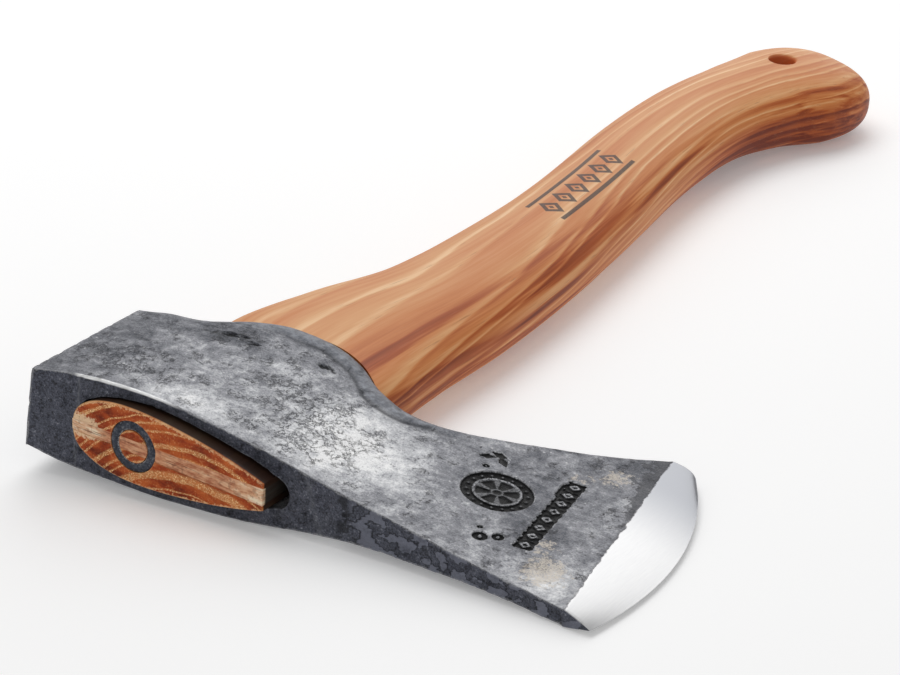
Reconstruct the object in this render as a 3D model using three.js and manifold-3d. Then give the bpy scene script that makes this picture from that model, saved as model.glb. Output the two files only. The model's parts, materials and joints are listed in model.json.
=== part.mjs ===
// Carving hatchet: a forged head with an open eye, a curved hickory handle,
// and the two wedges that lock them together.
// Millimetres. The axe frame has X from the poll to the cutting edge, Y from
// the eye end of the head to the knob of the handle, and Z across the cheeks.
// All but the poll face is symmetric about Z = 0 there. The last section lays
// the finished hatchet on its side, as it rests on a bench, with +Z up.
import * as THREE from 'three';
import Module from 'manifold-3d';
import { mergeVertices } from 'three/addons/utils/BufferGeometryUtils.js';

// ---- driving dimensions ---------------------------------------------------

const FIT_GAP = 0.3; // clearance between two pieces that touch

// Head. Each line is a list of [x, y] or [x, half thickness] along the head.
const POLL = { x: -48, skew: 0.09 }; // the poll face leans a little, as forged
const BLANK_X = -50; // the blank starts here and is trimmed to the poll face
const EYE_END_LINE = [[-50, -9.8], [-20, -7], [8, -6.2], [40, -5.4], [75, -7.6], [99, -10]];
const HANDLE_END_LINE = [
  [-50, 31], [-38, 32], [-30, 34], [-24, 38], [-18, 42.2], [-10, 45.4], [0, 46.2],
  [10, 43.6], [20, 38], [30, 35.6], [42, 37.6], [59, 46.6], [76, 56], [85.5, 62.2],
];
const CHEEK_HALF_THICKNESS = [
  [-50, 10.3], [-35, 12.6], [-20, 13.4], [-8, 13], [11, 10.8], [22, 9], [33, 6.9],
  [44, 5.5], [55, 4.5], [76, 2.9], [99, 2.2],
];
const WAIST_X = 30; // from here to the bevel the head sections lean with the edge
const BORDER = { toeX: 99, heelX: 85.5 }; // where the bevel starts
const EDGE = { toe: [106, -10.7], heel: [92.8, 60.4], bulge: 7.6, halfThickness: 0.15 };
const HEEL_BEAK = [90, 62.4];

// Handle: stations along the centreline, from just outside the eye to the knob.
const HANDLE_STATIONS = [
  { x: -5.4, y: 39, halfWidth: 26.2, halfThickness: 10.2, square: 2.8 },
  { x: -6.4, y: 50, halfWidth: 27.4, halfThickness: 10.5, square: 2.6 },
  { x: -4.6, y: 68, halfWidth: 25.2, halfThickness: 10.8, square: 2.4 },
  { x: -0.6, y: 95, halfWidth: 21, halfThickness: 10.9, square: 2.3 },
  { x: -0.6, y: 130, halfWidth: 18.7, halfThickness: 10.6, square: 2.3 },
  { x: -3.8, y: 171, halfWidth: 16.9, halfThickness: 10.3, square: 2.3 },
  { x: -9.6, y: 216, halfWidth: 16.5, halfThickness: 10.3, square: 2.3 },
  { x: -11, y: 252, halfWidth: 17, halfThickness: 10.6, square: 2.3 },
  { x: -6.6, y: 276, halfWidth: 19, halfThickness: 11.2, square: 2.4 },
  { x: -1.4, y: 291, halfWidth: 22.4, halfThickness: 11.7, square: 2.5 },
];
const KNOB_END = { length: 25.5, roundness: 2.6, axis: [0.36, 0.93] };
const LANYARD_HOLE = { x: -4, y: 291.8, diameter: 7.8, chamfer: 1 };

// Tongue of the handle and the eye that it fills.
const TONGUE = {
  proudY: -9.3,
  eyeEnd: { y: -7, back: -34.6, front: 20, halfThickness: 11.6, taper: 0.52, blunt: 0.16 },
  handleEnd: { y: 33, back: -28, front: 20.4, halfThickness: 10.3, taper: 0.2, blunt: 0.08 },
  square: 2.4,
};
const EYE_END_SLOT = 4.2; // the eye runs past the tongue at the blade end

// Wood wedge, driven along the long axis of the eye.
const WOOD_WEDGE = { depth: 34, faceThickness: 3.4, tipThickness: 1, taperToBlade: 1.35 };

// Steel ring wedge, driven into the end grain over the wood wedge.
const RING = { x: -17, outerRadius: 6.5, innerRadius: 4.1, depth: 9, tipWall: 1 };

// How far each cutting body runs past the faces that it cuts.
const TONGUE_RUN = { pastEyeEnd: 10, pastHandleEnd: 27 };
const KERF_RUN = 8;
const GROOVE_RUN = 5;
const DRILL_LENGTH = 30;
const CHAMFER_RUN = { inward: 0.5, outward: 2 };

// How finely the curved bodies are divided.
const HEAD_SECTIONS = { toWaist: 27, toBevel: 9, across: 8 };
const HANDLE_SECTIONS = { perStation: 4, knob: 9, half: 20 };
const KNOB_LAST_ANGLE = 84; // degrees; the tiny flat past it closes the knob
const ROUND_SEGMENTS = { ring: 48, hole: 40 };

// Rest pose on a bench: the hatchet lies on the eye bulge, the edge and the knob.
const REST = { rollDegrees: 5.8, pitchDegrees: -0.04 };

const STEEL = { color: 0x4b5055, roughness: 0.55, metalness: 0.85 };
const RING_STEEL = { color: 0x2c3136, roughness: 0.5, metalness: 0.85 };
const HICKORY = { color: 0xcf9a6a, roughness: 0.42, metalness: 0 };
const PALE_WOOD = { color: 0xdcb88c, roughness: 0.6, metalness: 0 };

// ---- helpers --------------------------------------------------------------

const wasm = await Module();
wasm.setup();

/** A smooth line y(x) through the given points, with cubic pieces. */
function lineThrough(points) {
  const slopes = points.map((point, i) => {
    const before = points[Math.max(i - 1, 0)];
    const after = points[Math.min(i + 1, points.length - 1)];
    return (after[1] - before[1]) / (after[0] - before[0]);
  });
  return (x) => {
    let i = points.findIndex((point) => point[0] > x) - 1;
    if (i < -1) i = points.length - 2;
    if (i === -1) i = 0;
    const width = points[i + 1][0] - points[i][0];
    const t = (x - points[i][0]) / width;
    const rise = 3 * t * t - 2 * t * t * t;
    const leave = t * (1 - t) * (1 - t) * width * slopes[i];
    const arrive = t * t * (t - 1) * width * slopes[i + 1];
    return points[i][1] * (1 - rise) + points[i + 1][1] * rise + leave + arrive;
  };
}

/** Numbers from first to last in equal steps, both ends included. */
function steps(first, last, count) {
  return Array.from({ length: count + 1 }, (unused, i) => first + ((last - first) * i) / count);
}

/**
 * A closed body from rows of upper points, mirrored in Z = 0 for the underside.
 * Rows run along the piece, and every row has the same number of points.
 */
function mirroredLoft(rows) {
  const columns = rows[0].length;
  const positions = [];
  for (const side of [1, -1]) {
    for (const row of rows) {
      for (const point of row) positions.push(point.x, point.y, point.z * side);
    }
  }
  const upper = (i, j) => i * columns + j;
  const lower = (i, j) => (rows.length + i) * columns + j;
  const index = [];
  const quad = (a, b, c, d) => index.push(a, b, c, a, c, d);
  for (let i = 0; i + 1 < rows.length; i += 1) {
    for (let j = 0; j + 1 < columns; j += 1) {
      quad(upper(i, j), upper(i + 1, j), upper(i + 1, j + 1), upper(i, j + 1));
      quad(lower(i, j), lower(i, j + 1), lower(i + 1, j + 1), lower(i + 1, j));
    }
    quad(upper(i, 0), lower(i, 0), lower(i + 1, 0), upper(i + 1, 0));
    const last = columns - 1;
    quad(upper(i, last), upper(i + 1, last), lower(i + 1, last), lower(i, last));
  }
  for (let j = 0; j + 1 < columns; j += 1) {
    const end = rows.length - 1;
    quad(upper(0, j), upper(0, j + 1), lower(0, j + 1), lower(0, j));
    quad(upper(end, j), lower(end, j), lower(end, j + 1), upper(end, j + 1));
  }
  const geometry = new THREE.BufferGeometry();
  geometry.setAttribute('position', new THREE.Float32BufferAttribute(positions, 3));
  geometry.setIndex(index);
  return geometry;
}

const WELD_DISTANCE = 1e-4;

/** A three.js geometry as a manifold solid, always facing out. */
function solid(geometry) {
  const bare = geometry.clone();
  bare.deleteAttribute('normal');
  bare.deleteAttribute('uv');
  const merged = mergeVertices(bare, WELD_DISTANCE);
  const build = (triangles) =>
    new wasm.Manifold(
      new wasm.Mesh({
        numProp: 3,
        vertProperties: new Float32Array(merged.attributes.position.array),
        triVerts: new Uint32Array(triangles),
      }),
    );
  const first = build(merged.index.array);
  if (first.volume() > 0) return first;
  const flipped = Array.from(merged.index.array);
  for (let i = 0; i < flipped.length; i += 3) {
    [flipped[i], flipped[i + 1]] = [flipped[i + 1], flipped[i]];
  }
  return build(flipped);
}

/** A manifold solid as a three.js geometry with flat shading normals. */
function geometryOf(body) {
  const mesh = body.getMesh();
  const geometry = new THREE.BufferGeometry();
  geometry.setAttribute('position', new THREE.Float32BufferAttribute(mesh.vertProperties, 3));
  geometry.setIndex(new THREE.Uint32BufferAttribute(mesh.triVerts, 1));
  geometry.computeVertexNormals();
  return geometry;
}

/** A lathe solid about a line parallel to Y through the ring's centre. */
function turnedAlongY(profile) {
  const points = [...profile, profile[0]].map(([radius, y]) => new THREE.Vector2(radius, y));
  return solid(new THREE.LatheGeometry(points, ROUND_SEGMENTS.ring)).translate([RING.x, 0, 0]);
}

// ---- head -----------------------------------------------------------------

const eyeEndY = lineThrough(EYE_END_LINE);
const handleEndY = lineThrough(HANDLE_END_LINE);
const cheek = lineThrough(CHEEK_HALF_THICKNESS);
const ACROSS_HEAD = steps(0, 1, HEAD_SECTIONS.across);

/** One row across the head, from its eye end to its handle end. */
function headRow(start, finish, halfThickness, bulge = 0) {
  const chord = new THREE.Vector2(finish[0] - start[0], finish[1] - start[1]);
  const out = new THREE.Vector2(chord.y, -chord.x).normalize();
  return ACROSS_HEAD.map((v) => {
    const swell = bulge * 4 * v * (1 - v);
    const x = start[0] + chord.x * v + out.x * swell;
    const y = start[1] + chord.y * v + out.y * swell;
    return new THREE.Vector3(x, y, halfThickness);
  });
}

function headBlank() {
  const rows = steps(BLANK_X, WAIST_X, HEAD_SECTIONS.toWaist).map((x) => {
    return headRow([x, eyeEndY(x)], [x, handleEndY(x)], cheek(x));
  });
  for (const t of steps(0, 1, HEAD_SECTIONS.toBevel).slice(1)) {
    const toeX = THREE.MathUtils.lerp(WAIST_X, BORDER.toeX, t);
    const heelX = THREE.MathUtils.lerp(WAIST_X, BORDER.heelX, t);
    rows.push(headRow([toeX, eyeEndY(toeX)], [heelX, handleEndY(heelX)], cheek(toeX)));
  }
  const middle = [(BORDER.toeX + EDGE.toe[0]) / 2, (eyeEndY(BORDER.toeX) + EDGE.toe[1]) / 2];
  const middleThickness = (cheek(BORDER.toeX) + EDGE.halfThickness) / 2;
  rows.push(headRow(middle, HEEL_BEAK, middleThickness, EDGE.bulge / 2));
  rows.push(headRow(EDGE.toe, EDGE.heel, EDGE.halfThickness, EDGE.bulge));
  const pollDistance = POLL.x / Math.hypot(1, POLL.skew);
  return solid(mirroredLoft(rows)).trimByPlane([1, 0, -POLL.skew], pollDistance);
}

// ---- handle ---------------------------------------------------------------

const TAPER_POWER = 1.3; // how late along the section the taper sets in

/**
 * Upper half of one handle section, from its back to its front. A taper thins
 * the front, and a blunt front is cut off square.
 */
function handleRow(centre, across, size, square, taper = 0, blunt = 0) {
  const cut = Math.acos(-((1 - blunt) ** (square / 2)));
  const { half } = HANDLE_SECTIONS;
  return Array.from({ length: half }, (unused, j) => {
    const angle = (cut * (j + 0.5)) / (half - 0.5);
    const full = -Math.sign(Math.cos(angle)) * Math.abs(Math.cos(angle)) ** (2 / square);
    const along = ((full + 1) * 2) / (2 - blunt) - 1;
    const thinning = 1 - taper * ((along + 1) / 2) ** TAPER_POWER;
    const rise = Math.sin(angle) ** (2 / square) * thinning;
    return new THREE.Vector3(
      centre[0] + across[0] * along * size.halfWidth,
      centre[1] + across[1] * along * size.halfWidth,
      rise * size.halfThickness,
    );
  });
}

/** A tongue section at a given height, grown by the given amount on all sides. */
function tongueRow(y, grow, frontSlot) {
  const { eyeEnd, handleEnd, square } = TONGUE;
  const t = Math.min((y - eyeEnd.y) / (handleEnd.y - eyeEnd.y), 1);
  const mix = (name) => THREE.MathUtils.lerp(eyeEnd[name], handleEnd[name], t);
  const back = mix('back') - grow;
  const front = mix('front') + grow + frontSlot * (1 - t);
  const size = { halfWidth: (front - back) / 2, halfThickness: mix('halfThickness') + grow };
  return handleRow([(back + front) / 2, y], [1, 0], size, square, mix('taper'), mix('blunt'));
}

/** The tongue run on past both ends of the eye, to cut or keep with. */
function longTongue(grow, frontSlot) {
  const places = [
    TONGUE.proudY - TONGUE_RUN.pastEyeEnd,
    TONGUE.eyeEnd.y,
    6,
    20,
    TONGUE.handleEnd.y,
    TONGUE.handleEnd.y + TONGUE_RUN.pastHandleEnd,
  ];
  return solid(mirroredLoft(places.map((y) => tongueRow(y, grow, frontSlot))));
}

const LOOK_AHEAD = 0.05; // how far along, in stations, the direction is measured

/** Centre, direction and size of the handle at a place between its stations. */
function handleAt(place) {
  const along = (name, spot) => {
    return lineThrough(HANDLE_STATIONS.map((station, i) => [i, station[name]]))(spot);
  };
  const sooner = Math.max(place - LOOK_AHEAD, 0);
  const later = Math.min(place + LOOK_AHEAD, HANDLE_STATIONS.length - 1);
  const runX = along('x', later) - along('x', sooner);
  const runY = along('y', later) - along('y', sooner);
  return {
    centre: [along('x', place), along('y', place)],
    direction: new THREE.Vector2(runX, runY).normalize(),
    halfWidth: along('halfWidth', place),
    halfThickness: along('halfThickness', place),
    square: along('square', place),
  };
}

const SHOULDER_TURN = 1.5; // stations over which the sections start to follow the curve

function handleBlank() {
  const rows = steps(TONGUE.proudY, TONGUE.handleEnd.y, 3).map((y) => tongueRow(y, 0, 0));
  const last = HANDLE_STATIONS.length - 1;
  const knobAxis = new THREE.Vector2(...KNOB_END.axis).normalize();
  for (const place of steps(0, last, last * HANDLE_SECTIONS.perStation)) {
    const spot = handleAt(place);
    const turn = THREE.MathUtils.smoothstep(place, 0, SHOULDER_TURN);
    const direction = new THREE.Vector2(0, 1).lerp(spot.direction, turn);
    const toKnob = THREE.MathUtils.smoothstep(place, last - 1, last);
    direction.lerp(knobAxis, toKnob).normalize();
    const across = [direction.y, -direction.x];
    rows.push(handleRow(spot.centre, across, spot, spot.square));
  }
  const end = handleAt(last);
  const power = 2 / KNOB_END.roundness;
  const angles = steps(0, KNOB_LAST_ANGLE, HANDLE_SECTIONS.knob).slice(1);
  for (const angle of angles.map(THREE.MathUtils.degToRad)) {
    const reach = KNOB_END.length * Math.sin(angle) ** power;
    const shrink = Math.cos(angle) ** power;
    const centre = [end.centre[0] + knobAxis.x * reach, end.centre[1] + knobAxis.y * reach];
    const across = [knobAxis.y, -knobAxis.x];
    const size = { halfWidth: end.halfWidth * shrink, halfThickness: end.halfThickness * shrink };
    rows.push(handleRow(centre, across, size, end.square));
  }
  return solid(mirroredLoft(rows));
}

/** The lanyard drill and the 45 degree countersinks at its two ends. */
function lanyardHoleCutter() {
  const { x, y, diameter, chamfer } = LANYARD_HOLE;
  const radius = diameter / 2;
  const drill = new THREE.CylinderGeometry(radius, radius, DRILL_LENGTH, ROUND_SEGMENTS.hole);
  drill.rotateX(Math.PI / 2);
  const faceZ = HANDLE_STATIONS[HANDLE_STATIONS.length - 1].halfThickness;
  const wide = radius + chamfer + CHAMFER_RUN.outward;
  const narrow = radius - CHAMFER_RUN.inward;
  const height = wide - narrow;
  const middleZ = faceZ - chamfer - CHAMFER_RUN.inward + height / 2;
  let cutter = solid(drill);
  for (const side of [1, -1]) {
    const cone = new THREE.CylinderGeometry(wide, narrow, height, ROUND_SEGMENTS.hole);
    cone.rotateX((side * Math.PI) / 2);
    cone.translate(0, 0, side * middleZ);
    cutter = cutter.add(solid(cone));
  }
  return cutter.translate([x, y, 0]);
}

// ---- wedges ---------------------------------------------------------------

/** The wood wedge before its ends are trimmed, or with a gap the kerf that holds it. */
function woodWedgeBlank(gap) {
  const { depth, faceThickness, tipThickness, taperToBlade } = WOOD_WEDGE;
  const top = TONGUE.proudY - (gap > 0 ? KERF_RUN : 0);
  const tip = TONGUE.proudY + depth + gap;
  const rows = [top, tip].map((y) => {
    const t = (y - TONGUE.proudY) / depth;
    const half = THREE.MathUtils.lerp(faceThickness, tipThickness, t) / 2;
    return [
      new THREE.Vector3(TONGUE.eyeEnd.back - KERF_RUN, y, half / taperToBlade + gap),
      new THREE.Vector3(TONGUE.eyeEnd.front + KERF_RUN, y, half * taperToBlade + gap),
    ];
  });
  return solid(mirroredLoft(rows));
}

/** The ring wedge, or with a gap the groove that it cuts. */
function ringWedge(gap) {
  const face = TONGUE.proudY - (gap > 0 ? GROOVE_RUN : 0);
  const tip = TONGUE.proudY + RING.depth + gap;
  const middle = (RING.outerRadius + RING.innerRadius) / 2;
  return turnedAlongY([
    [RING.innerRadius - gap, face],
    [RING.outerRadius + gap, face],
    [RING.outerRadius + gap, TONGUE.proudY],
    [middle + RING.tipWall / 2 + gap, tip],
    [middle - RING.tipWall / 2 - gap, tip],
    [RING.innerRadius - gap, TONGUE.proudY],
  ]);
}

// ---- pieces ---------------------------------------------------------------

const groove = ringWedge(FIT_GAP);
const blank = headBlank();
const tongue = longTongue(0, 0);
const head = blank.subtract(longTongue(FIT_GAP, EYE_END_SLOT));
const shoulderCutter = blank.translate([0, 2 * FIT_GAP, 0]).subtract(tongue);
const handle = handleBlank()
  .subtract(shoulderCutter)
  .subtract(woodWedgeBlank(FIT_GAP))
  .subtract(groove)
  .subtract(lanyardHoleCutter());
const woodWedge = woodWedgeBlank(0).intersect(tongue).subtract(groove);
const ring = ringWedge(0);

function piece(name, body, finish) {
  const mesh = new THREE.Mesh(geometryOf(body), new THREE.MeshStandardMaterial(finish));
  mesh.name = name;
  return mesh;
}

const axe = new THREE.Group();
axe.add(
  piece('axe_head', head, STEEL),
  piece('handle', handle, HICKORY),
  piece('wood_wedge', woodWedge, PALE_WOOD),
  piece('ring_wedge', ring, RING_STEEL),
);
axe.rotation.set(
  THREE.MathUtils.degToRad(REST.pitchDegrees),
  THREE.MathUtils.degToRad(REST.rollDegrees),
  0,
);

const hatchet = new THREE.Group();
hatchet.add(axe);
hatchet.updateMatrixWorld(true);
const box = new THREE.Box3().setFromObject(hatchet, true);
axe.position.set(-(box.min.x + box.max.x) / 2, -(box.min.y + box.max.y) / 2, -box.min.z);

export default hatchet;
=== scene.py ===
"""Carving hatchet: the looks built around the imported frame.

Shapes are worked out in the axe frame, in millimetres: X from the poll to the
cutting edge, Y from the eye end of the head to the knob, Z across the cheeks.
to_row() lays them down in the row frame, in metres, as the CAD model lies.
"""

import json
import math

import bmesh
import bpy
import numpy as np
from mathutils import Matrix, Vector, noise


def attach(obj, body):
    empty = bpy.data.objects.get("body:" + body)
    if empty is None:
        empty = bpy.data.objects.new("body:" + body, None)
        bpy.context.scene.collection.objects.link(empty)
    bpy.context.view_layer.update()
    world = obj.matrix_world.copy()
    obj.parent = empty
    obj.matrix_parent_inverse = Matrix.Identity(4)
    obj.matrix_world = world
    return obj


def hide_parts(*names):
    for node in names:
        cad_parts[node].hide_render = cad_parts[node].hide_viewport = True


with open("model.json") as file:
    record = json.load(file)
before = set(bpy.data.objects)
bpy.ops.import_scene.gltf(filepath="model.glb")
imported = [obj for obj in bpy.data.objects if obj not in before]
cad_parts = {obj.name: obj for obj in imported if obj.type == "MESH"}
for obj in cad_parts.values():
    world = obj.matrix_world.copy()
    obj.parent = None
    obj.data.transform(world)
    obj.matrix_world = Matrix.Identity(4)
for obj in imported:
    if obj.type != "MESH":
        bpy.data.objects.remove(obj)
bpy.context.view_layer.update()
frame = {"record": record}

# ---- dimensions shared with the CAD model, in mm ----

EYE_END_LINE = [(-50, -9.8), (-20, -7), (8, -6.2), (40, -5.4), (75, -7.6), (99, -10)]
HANDLE_END_LINE = [
    (-50, 31), (-38, 32), (-30, 34), (-24, 38), (-18, 42.2), (-10, 45.4), (0, 46.2),
    (10, 43.6), (20, 38), (30, 35.6), (42, 37.6), (59, 46.6), (76, 56), (85.5, 62.2),
]
CHEEK_HALF_THICKNESS = [
    (-50, 10.3), (-35, 12.6), (-20, 13.4), (-8, 13), (11, 10.8), (22, 9), (33, 6.9),
    (44, 5.5), (55, 4.5), (76, 2.9), (99, 2.2),
]
POLL_X, POLL_SKEW = -48, 0.09
POLL_CENTRE = (POLL_X, 10.8, 0)
WAIST_X, BORDER_TOE_X, BORDER_HEEL_X = 30, 99, 85.5
EDGE_TOE, EDGE_HEEL = (106, -10.7), (92.8, 60.4)
EDGE_BULGE = 7.58  # a hair under the CAD model's 7.6, whose edge is a polygon
HEEL_BEAK = (90, 62.4)

# Handle stations: x, y, half width, half thickness, squareness.
STATIONS = [
    (-5.4, 39, 26.2, 10.2, 2.8),
    (-6.4, 50, 27.4, 10.5, 2.6),
    (-4.6, 68, 25.2, 10.8, 2.4),
    (-0.6, 95, 21, 10.9, 2.3),
    (-0.6, 130, 18.7, 10.6, 2.3),
    (-3.8, 171, 16.9, 10.3, 2.3),
    (-9.6, 216, 16.5, 10.3, 2.3),
    (-11, 252, 17, 10.6, 2.3),
    (-6.6, 276, 19, 11.2, 2.4),
    (-1.4, 291, 22.4, 11.7, 2.5),
]
KNOB_LENGTH, KNOB_ROUNDNESS, KNOB_AXIS = 25.5, 2.6, (0.36, 0.93)
HOLE_X, HOLE_Y, HOLE_RADIUS = -4, 291.8, 3.9

TONGUE_FACE_Y = -9.3
TONGUE_EYE = dict(y=-7, back=-34.6, front=20, thick=11.6, taper=0.52, blunt=0.16)
TONGUE_RIM = dict(y=33, back=-28, front=20.4, thick=10.3, taper=0.2, blunt=0.08)
TONGUE_SQUARE = 2.4
EYE_GAP, EYE_SLOT = 0.3, 4.2

WEDGE_DEPTH, WEDGE_FACE, WEDGE_TIP, WEDGE_FLARE = 34, 3.4, 1, 1.35
RING_X, RING_OUTER, RING_INNER, RING_DEPTH, RING_TIP_WALL = -17, 6.5, 4.1, 9, 1

REST_ROLL, REST_PITCH = math.radians(5.8), math.radians(-0.04)

# ---- placing ----

TURN = np.array(Matrix.Rotation(REST_PITCH, 3, "X") @ Matrix.Rotation(REST_ROLL, 3, "Y"))
POLL_MOUNT = next(m for m in frame["record"]["mounts"] if m["name"] == "poll_face")
SHIFT = np.array(POLL_MOUNT["pos_m"]) - TURN @ (np.array(POLL_CENTRE) / 1000)


def to_row(points):
    """Axe-frame millimetres to row-frame metres."""
    return np.asarray(points, float) / 1000 @ TURN.T + SHIFT


# ---- small numeric helpers ----


def line_through(points):
    """A smooth line y(x) through the points, with the CAD model's cubic pieces."""
    xs, ys = np.array(points, float).T
    k = np.arange(len(xs))
    before, after = np.maximum(k - 1, 0), np.minimum(k + 1, len(xs) - 1)
    slopes = (ys[after] - ys[before]) / (xs[after] - xs[before])

    def line(x):
        x = np.asarray(x, float)
        i = np.clip(np.searchsorted(xs, x, side="right") - 1, 0, len(xs) - 2)
        width = xs[i + 1] - xs[i]
        t = (x - xs[i]) / width
        rise = 3 * t**2 - 2 * t**3
        leave = t * (1 - t) ** 2 * width * slopes[i]
        arrive = t**2 * (t - 1) * width * slopes[i + 1]
        return ys[i] * (1 - rise) + ys[i + 1] * rise + leave + arrive

    return line


def smoothstep(x, low, high):
    t = np.clip((np.asarray(x, float) - low) / (high - low), 0, 1)
    return t * t * (3 - 2 * t)


def window(x, rise, full, fall, end):
    """1 from full to fall, with smooth flanks down to 0 at rise and at end."""
    return smoothstep(x, rise, full) * (1 - smoothstep(x, fall, end))


def fractal(points, size, octaves=3, seed=0.0):
    """Fractal noise about 0 at each point, for lumps of the given size in mm."""
    out = np.empty(len(points))
    for i, p in enumerate(points / size + seed):
        out[i] = noise.fractal(Vector(p), 1.0, 2.0, octaves)
    return out


eye_end_y = line_through(EYE_END_LINE)
handle_end_y = line_through(HANDLE_END_LINE)
cheek = line_through(CHEEK_HALF_THICKNESS)

# ---- mesh helpers ----

WELD_DISTANCE = 1e-4  # mm
CREASE_ANGLE = math.radians(32)  # edges that turn more than this stay sharp


class Shell:
    """Grids of points collected into one mesh; touching borders are welded."""

    def __init__(self):
        self.points, self.faces, self.count = [], [], 0

    def grid(self, rows, flip=False, wrap=False):
        """rows: an array of shape (rows, columns, 3)."""
        rows = np.asarray(rows, float)
        n, m = rows.shape[:2]
        index = np.arange(n * m).reshape(n, m) + self.count
        right = np.roll(index, -1, axis=1) if wrap else index[:, 1:]
        left = index if wrap else index[:, :-1]
        quads = np.stack([left[:-1], left[1:], right[1:], right[:-1]], -1).reshape(-1, 4)
        self.points.append(rows.reshape(-1, 3))
        self.faces.append(quads[:, ::-1] if flip else quads)
        self.count += n * m
        return index

    def mesh(self, name):
        """A welded Blender mesh in axe-frame millimetres, facing out."""
        data = bpy.data.meshes.new(name)
        data.from_pydata(np.concatenate(self.points), [], np.concatenate(self.faces).tolist())
        bm = bmesh.new()
        bm.from_mesh(data)
        bmesh.ops.remove_doubles(bm, verts=bm.verts, dist=WELD_DISTANCE)
        bmesh.ops.dissolve_degenerate(bm, dist=WELD_DISTANCE / 10, edges=bm.edges)
        bmesh.ops.recalc_face_normals(bm, faces=bm.faces)
        bm.to_mesh(data)
        bm.free()
        return data


def get_points(data, field="co"):
    """The places of all vertices, or their normals."""
    points = np.empty(len(data.vertices) * 3)
    data.vertices.foreach_get(field, points)
    return points.reshape(-1, 3)


def set_points(data, points):
    data.vertices.foreach_set("co", np.ascontiguousarray(points, float).ravel())
    data.update()


def new_object(name, data):
    piece = bpy.data.objects.new(name, data)
    bpy.context.scene.collection.objects.link(piece)
    return piece


def carve(piece, cutter, operation="DIFFERENCE"):
    """Cuts piece with cutter, applies the result and removes the cutter."""
    cut = piece.modifiers.new("cut", "BOOLEAN")
    cut.operation, cut.solver, cut.object = operation, "EXACT", cutter
    graph = bpy.context.evaluated_depsgraph_get()
    result = bpy.data.meshes.new_from_object(piece.evaluated_get(graph))
    piece.modifiers.clear()
    old, piece.data = piece.data, result
    name = old.name
    bpy.data.meshes.remove(old)
    result.name = name
    spare = cutter.data
    bpy.data.objects.remove(cutter)
    bpy.data.meshes.remove(spare)


# How many numbers a vertex has, to the attribute type and field that hold them.
ATTRIBUTE_KINDS = {
    1: ("FLOAT", "value"),
    3: ("FLOAT_VECTOR", "vector"),
    4: ("FLOAT_COLOR", "color"),
}


def add_attributes(data, **fields):
    """Stores numbers, vectors or colours at the vertices for the materials to read."""
    for name, values in fields.items():
        values = np.asarray(values, float).reshape(len(data.vertices), -1)
        kind, field = ATTRIBUTE_KINDS[values.shape[1]]
        data.attributes.new(name, kind, "POINT").data.foreach_set(field, values.ravel())


def finish_piece(piece, material, nodes):
    set_points(piece.data, to_row(get_points(piece.data)))
    piece.data.materials.clear()
    piece.data.materials.append(material)
    piece.data.polygons.foreach_set("use_smooth", [True] * len(piece.data.polygons))
    piece.data.set_sharp_from_angle(angle=CREASE_ANGLE)
    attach(piece, "root")
    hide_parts(*nodes)


# ---- the tongue section, shared by the eye and the handle ----


def section(half, square, taper=0.0, blunt=0.0):
    """Unit upper half section from back to front: along in -1..1 and rise in 0..1."""
    cut = math.acos(-((1 - blunt) ** (square / 2)))
    angle = cut * (np.arange(half) + 0.5) / (half - 0.5)
    full = -np.sign(np.cos(angle)) * np.abs(np.cos(angle)) ** (2 / square)
    along = (full + 1) * 2 / (2 - blunt) - 1
    rise = np.sin(angle) ** (2 / square) * (1 - taper * ((along + 1) / 2) ** 1.3)
    return along, rise


def tongue_outline(y, half, grow=0.0, slot=0.0):
    """x and z of the upper half of the tongue at a height y."""
    t = min((y - TONGUE_EYE["y"]) / (TONGUE_RIM["y"] - TONGUE_EYE["y"]), 1)
    mix = {k: TONGUE_EYE[k] * (1 - t) + TONGUE_RIM[k] * t for k in TONGUE_EYE}
    back, front = mix["back"] - grow, mix["front"] + grow + slot * (1 - t)
    along, rise = section(half, TONGUE_SQUARE, mix["taper"], mix["blunt"])
    return (back + front) / 2 + along * (front - back) / 2, rise * (mix["thick"] + grow)


# ---- head: shape ----

EYE_HALF = 70  # stations along the eye
BAND, ARC, WALL = 9, 4, 14  # divisions round one head section
ACROSS_UPPER, ACROSS_LOWER = 176, 80
POLL_ROUNDING = 0.8  # mm


def toe_x(x, v):
    """The eye-end x of the section line through x at the fraction v across the head."""
    t = (x - WAIST_X) / ((BORDER_TOE_X - WAIST_X) * (1 - v) + (BORDER_HEEL_X - WAIST_X) * v)
    return np.where(x > WAIST_X, WAIST_X + (BORDER_TOE_X - WAIST_X) * t, x)


def eye_stations():
    """x and half opening of the eye at its eye end and its handle end."""
    ends = []
    turn = np.linspace(0, math.pi / 2, 10)[1:]
    for y, corner in ((TONGUE_EYE["y"], 3.0), (TONGUE_RIM["y"], 0.4)):
        x, z = tongue_outline(y, EYE_HALF, EYE_GAP, EYE_SLOT)
        x = x[0] + (x - x[0]) * (1 - corner / (x[-1] - x[0]))
        ends.append((
            np.concatenate([[x[0] - 0.05], x, x[-1] + corner * np.sin(turn)]),
            np.concatenate([[0.0], z, z[-1] * np.cos(turn)]),
        ))
    return ends


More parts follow.
